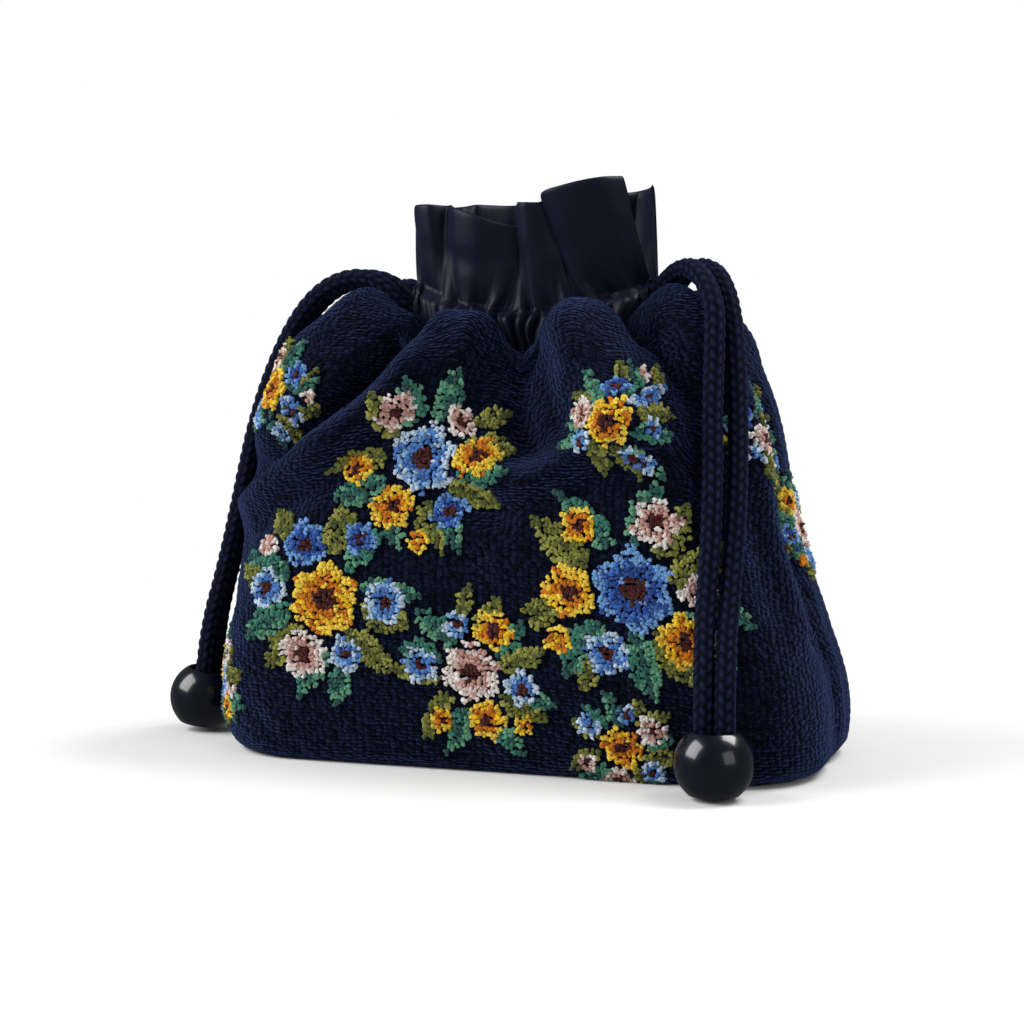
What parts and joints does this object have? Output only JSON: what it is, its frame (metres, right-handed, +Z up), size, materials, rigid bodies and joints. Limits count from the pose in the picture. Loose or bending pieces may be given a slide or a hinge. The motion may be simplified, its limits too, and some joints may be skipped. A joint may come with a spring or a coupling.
{
  "type": "drawstring pouch",
  "caption": "Small gathered drawstring pouch: chenille body with raised flowers, satin casing and frill, braided cords ending in round beads.",
  "frame": {"origin": "middle of the flat base the pouch stands on", "axes": "+Z up towards the frill, -Y out of the front, +X to the right as seen from the front"},
  "size_m": [0.1926, 0.1033, 0.1551],
  "materials": {
    "chenille": "navy chenille pile in fine rows, matt with a soft blue sheen",
    "lining": "plain dark navy lining",
    "satin": "dark navy satin, soft gloss",
    "cord": "navy braided round cord",
    "bead": "polished dark navy bead",
    "pile_yellow": "raised yellow chenille pile",
    "pile_blue": "raised blue chenille pile",
    "pile_pale": "raised pale pink-white chenille pile",
    "pile_sky": "raised light blue chenille pile",
    "pile_olive": "raised olive chenille pile",
    "pile_teal": "raised teal chenille pile"
  },
  "bodies": {
    "pouch": {"outer_front": "chenille", "outer_back": "chenille", "lining": "lining", "casing_frill_front": "satin", "casing_frill_back": "satin", "drawstring_left_loop": "cord", "drawstring_right_loop": "cord", "drawstring_right_front_tail": "cord", "drawstring_right_back_tail": "cord", "drawstring_left_front_tail": "cord", "drawstring_left_back_tail": "cord", "knot_right": "cord", "knot_left": "cord", "spray_front_left_bloom": "pile_yellow", "spray_front_left_bud": "pile_blue", "spray_front_left_leaf_a": "pile_olive", "spray_front_left_leaf_b": "pile_olive", "spray_front_low_bloom": "pile_pale", "spray_front_low_bud": "pile_yellow", "spray_front_low_leaf_a": "pile_teal", "spray_front_low_leaf_b": "pile_teal", "spray_front_right_bloom": "pile_blue", "spray_front_right_bud": "pile_yellow", "spray_front_right_leaf_a": "pile_olive", "spray_front_right_leaf_b": "pile_olive", "spray_front_upper_bloom": "pile_sky", "spray_front_upper_bud": "pile_yellow", "spray_front_upper_leaf_a": "pile_teal", "spray_front_upper_leaf_b": "pile_teal", "spray_front_high_bloom": "pile_yellow", "spray_front_high_bud": "pile_sky", "spray_front_high_leaf_a": "pile_olive", "spray_front_high_leaf_b": "pile_olive", "spray_back_left_bloom": "pile_yellow", "spray_back_left_bud": "pile_pale", "spray_back_left_leaf_a": "pile_olive", "spray_back_left_leaf_b": "pile_olive", "spray_back_right_bloom": "pile_blue", "spray_back_right_bud": "pile_yellow", "spray_back_right_leaf_a": "pile_teal", "spray_back_right_leaf_b": "pile_teal", "spray_back_upper_bloom": "pile_sky", "spray_back_upper_bud": "pile_yellow", "spray_back_upper_leaf_a": "pile_olive", "spray_back_upper_leaf_b": "pile_olive"},
    "bead_right": {"bead_right": "bead"},
    "bead_left": {"bead_left": "bead"}
  },
  "joints": [
    {"name": "bead_right_slide", "type": "slide", "parent": "pouch", "child": "bead_right", "axis": [0, 0, 1], "range_m": [0, 0.008]},
    {"name": "bead_left_slide", "type": "slide", "parent": "pouch", "child": "bead_left", "axis": [0.1564, 0, 0.9877], "range_m": [0, 0.008]}
  ]
}
